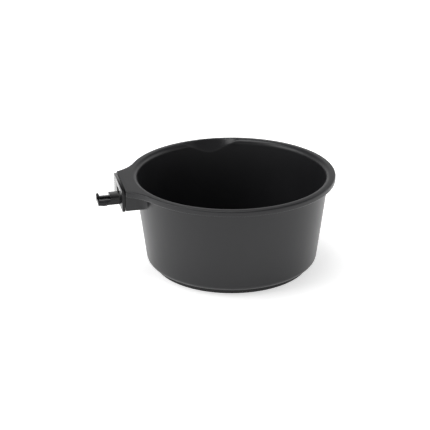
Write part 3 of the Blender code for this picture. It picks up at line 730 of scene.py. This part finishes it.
def boss_body(bowl):
    top = RIM_TOP - bowl.rim_depth / 2
    edge = bowl.boss_round
    rings = [boss_ring(bowl, BOSS_BOTTOM + edge * (1 - math.cos(turn)), edge * (1 - math.sin(turn)))
             for turn in [0.0] + spread(0, math.pi / 2, 5)]
    rings += [boss_ring(bowl, z, 0.0) for z in spread(BOSS_BOTTOM + edge, BOSS_BOTTOM + bowl.boss_fillet, 8)]
    rings += [boss_ring(bowl, z, 0.0) for z in spread(BOSS_BOTTOM + bowl.boss_fillet, top, 3)]
    return lofted("boss_body", rings)


def bowl_shell(context):
    bowl = context.scene.bowl_sizes
    coupling = context.scene.coupling_sizes
    fixings = context.scene.fixing_sizes
    shell = lofted("bowl_shell_skin", shell_rings(bowl))
    join(shell, boss_body(bowl))
    pocket_low = BOSS_BOTTOM + bowl.pocket_floor
    pocket_high = RIM_TOP - bowl.pocket_roof
    pocket_back = -(bowl.wall_top_radius + bowl.pocket_back_wall)
    pocket_side = BOSS_SIDE - bowl.pocket_side_wall
    cut(shell, block("pocket", (BOSS_END_X - OVERSHOOT, -pocket_side, pocket_low),
                     (pocket_back, pocket_side, pocket_high), bowl.pocket_edge_round))
    hole = fixings.button_radius + GAP
    cut(shell, turned("button_hole", [(hole, BOSS_BOTTOM - OVERSHOOT), (hole, pocket_low + GAP)],
                      (BUTTON_X, BUTTON_Y)))
    for name in ("plate_screw_back", "plate_screw_front"):
        low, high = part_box(name)
        sink = fixings.head_radius + 2 * GAP
        shank = fixings.shank_radius + GAP
        profile = [(sink, BOSS_BOTTOM - OVERSHOOT), (sink, BOSS_BOTTOM),
                   (shank, BOSS_BOTTOM + sink - shank), (shank, pocket_low + GAP)]
        cut(shell, turned("screw_recess", profile, ((low.x + high.x) / 2, (low.y + high.y) / 2)))
    peg_low = pocket_high - coupling.peg_height
    join(shell, turned("roof_peg", [(coupling.peg_radius * 0.8, peg_low),
                                    (coupling.peg_radius, peg_low + coupling.peg_radius * 0.2),
                                    (coupling.peg_radius, pocket_high + GAP)], (BUTTON_X, BUTTON_Y), 24))
    return finish_piece(shell, material_named(satin_moulded_polypropylene, context), "bowl",
                        "bowl_shell", smooth=30)


# Foot pad

def foot_pad(context):
    pad = context.scene.pad_sizes
    radius = PAD_HIGH.x
    top = PAD_HIGH.z - pad.key_height
    edge = pad.edge_round
    tread_inner = radius - pad.tread_width
    soft = pad.soft_corner
    profile = [(pad.hub_radius - soft, PAD_LOW.z), (pad.hub_radius, PAD_LOW.z + soft),
               (pad.hub_radius + soft, PAD_LOW.z + pad.tread_depth)]
    profile += [(tread_inner - soft, PAD_LOW.z + pad.tread_depth), (tread_inner, PAD_LOW.z + soft),
                (tread_inner + soft, PAD_LOW.z)]
    for part in (0.25, 0.5, 0.75):
        middle = tread_inner + (pad.tread_width - edge) * part
        half = pad.groove_width / 2
        profile += [(middle - half, PAD_LOW.z), (middle - half * 0.6, PAD_LOW.z + pad.groove_depth),
                    (middle + half * 0.6, PAD_LOW.z + pad.groove_depth), (middle + half, PAD_LOW.z)]
    profile += arc((radius - edge, PAD_LOW.z + edge), edge, -math.pi / 2, 0.0, 5)
    profile += arc((radius - edge, top - edge), edge, 0.0, math.pi / 2, 5)
    profile += [(pad.key_radius, top), (pad.key_radius - soft, top + pad.key_height - soft),
                (pad.key_radius - 2 * soft, top + pad.key_height)]
    piece = turned("foot_pad_skin", profile, columns=256)
    return finish_piece(piece, material_named(moulded_thermoplastic_rubber, context), "bowl",
                        "foot_pad")


# Coupling

def obround(width, height, z, grow=0.0):
    """Round-ended slot as (y, z) points."""
    radius = height / 2
    half = width / 2 - radius
    radius += grow
    return (arc((half, z), radius, -math.pi / 2, math.pi / 2, 14)
            + arc((-half, z), radius, math.pi / 2, 3 * math.pi / 2, 14))


def plug_outline(coupling):
    """The plug from above, with the barb on the front prong."""
    side = coupling.plug_width / 2
    tip = PLATE_LOW.x
    root = FACE_X + GAP
    barb_start = tip + coupling.crossbar / 2
    barb_end = barb_start + coupling.barb_length
    proud = side + coupling.barb_proud
    soft = coupling.plug_corner
    return [(root, -side), (barb_end, -side), (barb_end, -proud + soft / 2), (barb_end - soft / 2, -proud),
            ((barb_start + barb_end) / 2, -proud), (barb_start, -side), (tip + soft, -side),
            (tip, -side + soft), (tip, side - soft), (tip + soft, side), (root, side)]


def coupling_plate(context):
    coupling = context.scene.coupling_sizes
    back = FACE_X + coupling.plate_thickness
    plug_bottom = LEVER_LOW.z
    plug_top = plug_bottom + coupling.plug_height
    side = coupling.plug_width / 2
    slot = coupling.prong_gap / 2
    block_end = FACE_X - coupling.block_length
    tip = PLATE_LOW.x
    piece = block("coupling_plate_skin", (FACE_X, -BOSS_SIDE, BOSS_BOTTOM), (back, BOSS_SIDE, RIM_TOP))
    join(piece, upward("plug", plug_outline(coupling), plug_bottom, plug_top))
    ear_top = PIVOT_Z + coupling.ear_height / 2
    for inner in (slot - GAP - coupling.ear_thickness, side + GAP):
        join(piece, block("ear", (back - GAP, inner, ear_top - coupling.ear_height),
                          (back + coupling.ear_length, inner + coupling.ear_thickness, ear_top)))
    foot_low = BOSS_BOTTOM + context.scene.bowl_sizes.pocket_floor + GAP
    for name in ("plate_screw_back", "plate_screw_front"):
        low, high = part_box(name)
        middle = (low.y + high.y) / 2
        join(piece, block("foot", (back - GAP, middle - coupling.foot_width / 2, foot_low),
                          (back + coupling.foot_length, middle + coupling.foot_width / 2,
                           foot_low + coupling.foot_height)))
        pilot = coupling.pilot_radius
        cut(piece, turned("pilot", [(pilot, foot_low - GAP), (pilot, high.z + GAP)],
                          ((low.x + high.x) / 2, middle), 32))
    inner = slot - GAP
    top = PRONG_TOP
    cut(piece, block("over_prongs", (tip - OVERSHOOT, -side - OVERSHOOT, top),
                     (block_end, side + OVERSHOOT, plug_top + OVERSHOOT)))
    cut(piece, block("between_prongs", (tip + coupling.crossbar, -slot, plug_bottom - OVERSHOOT),
                     (block_end, side, plug_top)))
    cut(piece, block("lever_channel", (tip - OVERSHOOT, inner, plug_bottom - OVERSHOOT),
                     (FACE_X, side + OVERSHOOT, top + GAP)))
    neck_low = top - coupling.neck_height - coupling.neck_room
    cut(piece, block("lever_window", (FACE_X - GAP, inner, neck_low), (back + GAP, side + GAP, top + GAP)))
    socket_z = plug_top + coupling.socket_land + coupling.socket_height / 2
    cut(piece, sideways("socket", obround(coupling.socket_width, coupling.socket_height, socket_z),
                        FACE_X - OVERSHOOT, back + OVERSHOOT, "X"))
    bore = (PIN_HIGH.z - PIN_LOW.z) / 2 + GAP
    ring = arc((PIVOT_X, PIVOT_Z), bore, 0.0, 2 * math.pi, 32)[:-1]
    cut(piece, sideways("pin_hole", ring, PIN_LOW.y - OVERSHOOT, PIN_HIGH.y + OVERSHOOT, "Y"))
    ease_edges(piece, coupling.edge_round)
    return finish_piece(piece, material_named(polished_moulded_abs, context), "bowl",
                        "coupling_plate")


def lever_outline(coupling):
    """The lever from the side: hook, prong, neck, eye round the pin, and tail."""
    tip, plug_bottom, tail_end = LEVER_LOW.x, LEVER_LOW.z, LEVER_HIGH.x
    top = PRONG_TOP
    hook_top = top + coupling.hook_rise
    neck_end = FACE_X - coupling.neck_out
    neck_bottom = top - coupling.neck_height
    bore = (PIN_HIGH.z - PIN_LOW.z) / 2 + GAP
    eye = bore + coupling.eye_wall
    tail_top = LEVER_HIGH.z - coupling.peg_height
    tail_bottom = tail_top - coupling.tail_thickness
    lead_in = coupling.hook_rise / 3

    def turn(z):
        return math.asin(max(-1.0, min(1.0, (z - PIVOT_Z) / eye)))

    pivot = (PIVOT_X, PIVOT_Z)
    return ([(tip, plug_bottom), (neck_end, plug_bottom), (neck_end, neck_bottom)]
            + arc(pivot, eye, -math.pi - turn(neck_bottom), turn(tail_bottom), 12)
            + [(tail_end, tail_bottom), (tail_end, tail_top)]
            + arc(pivot, eye, turn(tail_top), math.pi - turn(top), 18)
            + [(tip + coupling.hook_length, top), (tip + coupling.hook_length, hook_top - lead_in / 3),
               (tip + coupling.hook_length - lead_in / 3, hook_top), (tip + lead_in, hook_top),
               (tip, hook_top - lead_in)])


def latch_lever(context):
    coupling = context.scene.coupling_sizes
    piece = sideways("latch_lever_skin", lever_outline(coupling), LEVER_LOW.y, LEVER_HIGH.y, "Y")
    bore = (PIN_HIGH.z - PIN_LOW.z) / 2 + GAP
    ring = arc((PIVOT_X, PIVOT_Z), bore, 0.0, 2 * math.pi, 32)[:-1]
    cut(piece, sideways("bore", ring, LEVER_LOW.y - OVERSHOOT, LEVER_HIGH.y + OVERSHOOT, "Y"))
    peg_low = LEVER_HIGH.z - coupling.peg_height - GAP
    join(piece, turned("peg", [(coupling.peg_radius, peg_low), (coupling.peg_radius, LEVER_HIGH.z)],
                       (BUTTON_X, PIVOT_Y), 24))
    ease_edges(piece, coupling.edge_round)
    return finish_piece(piece, material_named(polished_moulded_abs, context), "latch",
                        "latch_lever")


def latch_pin(context):
    radius = (PIN_HIGH.z - PIN_LOW.z) / 2
    soft = radius / 5
    turns = [2 * math.pi * i / 40 for i in range(40)]
    sections = [(PIN_LOW.y, radius - soft), (PIN_LOW.y + soft, radius), (PIN_HIGH.y - soft, radius),
                (PIN_HIGH.y, radius - soft)]
    piece = lofted("latch_pin_skin", [[(PIVOT_X + r * math.cos(turn), y, PIVOT_Z + r * math.sin(turn))
                                       for turn in turns] for y, r in sections])
    return finish_piece(piece, material_named(drawn_stainless_steel, context), "bowl", "latch_pin")


def latch_spring(context):
    """Coil spring, lofted as rings of the wire's section along the helix, its end turns closed."""
    fixings = context.scene.fixing_sizes
    wire, coil = fixings.wire_radius, fixings.coil_radius
    low, high = SPRING_LOW.z + wire, SPRING_HIGH.z - wire
    closed = 3 * wire
    per_turn = 28
    rings = []
    for i in range(fixings.coil_turns * per_turn + 1):
        turns = i / per_turn
        turn = 2 * math.pi * turns
        opened = min(max((turns - 1) / (fixings.coil_turns - 2), 0.0), 1.0)
        closing = closed * (min(turns, 1.0) + max(turns - fixings.coil_turns + 1, 0.0))
        z = low + closing + opened * (high - low - 2 * closed)
        rings.append([(BUTTON_X + (coil + wire * math.cos(side)) * math.cos(turn),
                       BUTTON_Y + (coil + wire * math.cos(side)) * math.sin(turn),
                       z + wire * math.sin(side)) for side in [2 * math.pi * k / 12 for k in range(12)]])
    piece = lofted("latch_spring_skin", rings)
    finish_piece(piece, material_named(drawn_stainless_steel, context), "bowl", "latch_spring")
    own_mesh(piece)
    return piece


def release_button(context):
    fixings = context.scene.fixing_sizes
    radius, dish = fixings.button_radius, fixings.button_dish
    collar_low = BOSS_BOTTOM + context.scene.bowl_sizes.pocket_floor + GAP
    nose = fixings.nose_radius
    soft = radius / 6
    low = BUTTON_LOW.z
    profile = [(radius * part, low + dish * (1 - part ** 2 / 0.64)) for part in (0.2, 0.4, 0.6, 0.8)]
    profile += arc((radius - soft, low + soft), soft, -math.pi / 2, 0.0, 4)[1:]
    profile += [(radius, collar_low), (fixings.collar_radius, collar_low),
                (fixings.collar_radius, collar_low + fixings.collar_thickness - soft / 3),
                (fixings.collar_radius - soft / 3, collar_low + fixings.collar_thickness),
                (nose, collar_low + fixings.collar_thickness), (nose, BUTTON_HIGH.z - soft / 2),
                (nose - soft / 2, BUTTON_HIGH.z)]
    piece = turned("release_button_skin", profile, (BUTTON_X, BUTTON_Y), 64)
    return finish_piece(piece, material_named(polished_moulded_abs, context), "button",
                        "release_button")


def plate_screw(context, node):
    """Countersunk screw with its cross recess and the ridges of its thread."""
    fixings = context.scene.fixing_sizes
    low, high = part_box(node)
    centre = ((low.x + high.x) / 2, (low.y + high.y) / 2)
    core, head = fixings.screw_radius, fixings.head_radius
    ridge = core + fixings.thread_height
    neck_z = low.z + head - ridge
    flank = fixings.thread_flank
    profile = [(head - flank, low.z), (head, low.z + flank), (ridge, neck_z),
               (core, neck_z + fixings.thread_pitch / 2)]
    z = neck_z + fixings.thread_pitch
    while z < high.z - 2 * fixings.thread_pitch:
        profile += [(core, z - flank), (ridge, z), (core, z + flank)]
        z += fixings.thread_pitch
    profile += [(core, z), (core * 0.25, high.z)]
    piece = turned(node + "_skin", profile, centre, 40)
    arm, half = fixings.cross_span / 2, fixings.cross_width / 2
    depth = low.z + fixings.cross_depth
    for along, across in ((arm, half), (half, arm)):
        cut(piece, block("recess", (centre[0] - along, centre[1] - across, low.z - OVERSHOOT / 2),
                         (centre[0] + along, centre[1] + across, depth)))
    return finish_piece(piece, material_named(drawn_stainless_steel, context), "bowl", node)


# Stage

def soft_light(name, middle, aim, width, height, power):
    only(None)
    bpy.ops.object.light_add(type="AREA", location=middle)
    lamp = bpy.context.active_object
    lamp.name = name
    lamp.data.shape = "RECTANGLE"
    lamp.data.size = width
    lamp.data.size_y = height
    lamp.data.energy = power
    direction = [b - a for a, b in zip(middle, aim)]
    flat = math.hypot(direction[0], direction[1])
    lamp.rotation_euler = (math.atan2(flat, -direction[2]), 0.0, math.atan2(-direction[0], direction[1]))
    return lamp


def build_stage(context):
    stage = context.scene.stage_settings
    only(None)
    bpy.ops.mesh.primitive_grid_add(x_subdivisions=24, y_subdivisions=24, size=stage.table_size)
    table = at_origin("studio_floor")
    table.data.materials.append(material_named(opal_acrylic_sheet, context))

    world = bpy.data.worlds.new("grey_surround")
    context.scene.world = world
    world.use_nodes = True
    tree = world.node_tree
    height = add_node(tree, "ShaderNodeSeparateXYZ",
                      links={"Vector": add_node(tree, "ShaderNodeTexCoord").outputs["Generated"]})
    fade = add_node(tree, "ShaderNodeMapRange",
                    {"From Max": math.sin(stage.surround_fade), "To Min": stage.surround_low,
                     "To Max": stage.surround_high}, {"Value": height.outputs["Z"]},
                    interpolation_type="SMOOTHSTEP")
    background = tree.nodes["Background"]
    background.inputs["Color"].default_value = (1.0, 1.0, 1.0, 1.0)
    tree.links.new(fade.outputs["Result"], background.inputs["Strength"])
    target = (0.0, 0.0, RIM_TOP)
    wide, high = stage.softbox_width, stage.softbox_height
    soft_light("main_softbox", stage.main_spot, target, wide, high, stage.main_light)
    soft_light("fill_softbox", stage.fill_spot, target, wide, high, stage.fill_light)
    soft_light("top_softbox", stage.top_spot, target, wide, wide, stage.top_light)

    level = stage.distance * math.cos(stage.elevation)
    place = (level * math.sin(stage.azimuth), -level * math.cos(stage.azimuth),
             RIM_TOP + stage.distance * math.sin(stage.elevation))
    only(None)
    bpy.ops.object.camera_add(location=place, rotation=(math.pi / 2 - stage.elevation, 0.0, stage.azimuth))
    camera = bpy.context.active_object
    camera.name = "studio_camera"
    camera.data.lens = stage.lens
    camera.data.sensor_width = 36.0
    camera.data.shift_x = stage.shift_x
    camera.data.shift_y = stage.shift_y
    camera.data.clip_start = 0.01
    context.scene.camera = camera
    context.scene.view_settings.view_transform = "Standard"


# Operators

class BuildBowlShell(Operator):
    """Build the bowl with its rim, scoop and coupling boss"""
    bl_idname = "colour_bowl.bowl_shell"
    bl_label = "Bowl Shell"

    def execute(self, context):
        bowl_shell(context)
        return {"FINISHED"}


class BuildFootPad(Operator):
    """Build the soft pad under the bowl"""
    bl_idname = "colour_bowl.foot_pad"
    bl_label = "Foot Pad"

    def execute(self, context):
        foot_pad(context)
        return {"FINISHED"}


class BuildCouplingPlate(Operator):
    """Build the coupling plate with its plug and socket"""
    bl_idname = "colour_bowl.coupling_plate"
    bl_label = "Coupling Plate"

    def execute(self, context):
        coupling_plate(context)
        return {"FINISHED"}


class BuildLatch(Operator):
    """Build the latch lever, its pin, its spring and the release button"""
    bl_idname = "colour_bowl.latch"
    bl_label = "Latch"

    def execute(self, context):
        latch_lever(context)
        latch_pin(context)
        latch_spring(context)
        release_button(context)
        return {"FINISHED"}


class BuildScrews(Operator):
    """Build the two screws that hold the coupling plate"""
    bl_idname = "colour_bowl.screws"
    bl_label = "Plate Screws"

    def execute(self, context):
        for node in ("plate_screw_back", "plate_screw_front"):
            plate_screw(context, node)
        return {"FINISHED"}


class BuildStage(Operator):
    """Build the table, the lights and the camera"""
    bl_idname = "colour_bowl.stage"
    bl_label = "Stage"

    def execute(self, context):
        build_stage(context)
        return {"FINISHED"}


BUILDERS = (BuildStage, BuildBowlShell, BuildFootPad, BuildCouplingPlate, BuildLatch, BuildScrews)
GROUPS = {"bowl_sizes": BowlSizes, "coupling_sizes": CouplingSizes, "fixing_sizes": FixingSizes,
          "pad_sizes": PadSizes, "bowl_finishes": Finishes, "stage_settings": StageSettings}


class ColourBowlPanel(Panel):
    """Lists the pieces and their sizes"""
    bl_idname = "VIEW3D_PT_colour_bowl"
    bl_label = "Colour Bowl"
    bl_space_type = "VIEW_3D"
    bl_region_type = "UI"
    bl_category = "Colour Bowl"

    def draw(self, context):
        column = self.layout.column()
        for builder in BUILDERS:
            column.operator(builder.bl_idname, text=builder.bl_label)
        for name, group in GROUPS.items():
            box = self.layout.box()
            box.label(text=name.replace("_", " ").capitalize())
            for field in group.__annotations__:
                box.prop(getattr(context.scene, name), field)


def register():
    for group in GROUPS.values():
        bpy.utils.register_class(group)
    for name, group in GROUPS.items():
        setattr(bpy.types.Scene, name, PointerProperty(type=group))
    for builder in BUILDERS:
        bpy.utils.register_class(builder)
    bpy.utils.register_class(ColourBowlPanel)


def unregister():
    bpy.utils.unregister_class(ColourBowlPanel)
    for builder in reversed(BUILDERS):
        bpy.utils.unregister_class(builder)
    for name, group in GROUPS.items():
        delattr(bpy.types.Scene, name)
        bpy.utils.unregister_class(group)


def main():
    register()
    bpy.ops.colour_bowl.stage()
    bpy.ops.colour_bowl.bowl_shell()
    bpy.ops.colour_bowl.foot_pad()
    bpy.ops.colour_bowl.coupling_plate()
    bpy.ops.colour_bowl.latch()
    bpy.ops.colour_bowl.screws()


if __name__ == "__main__":
    main()
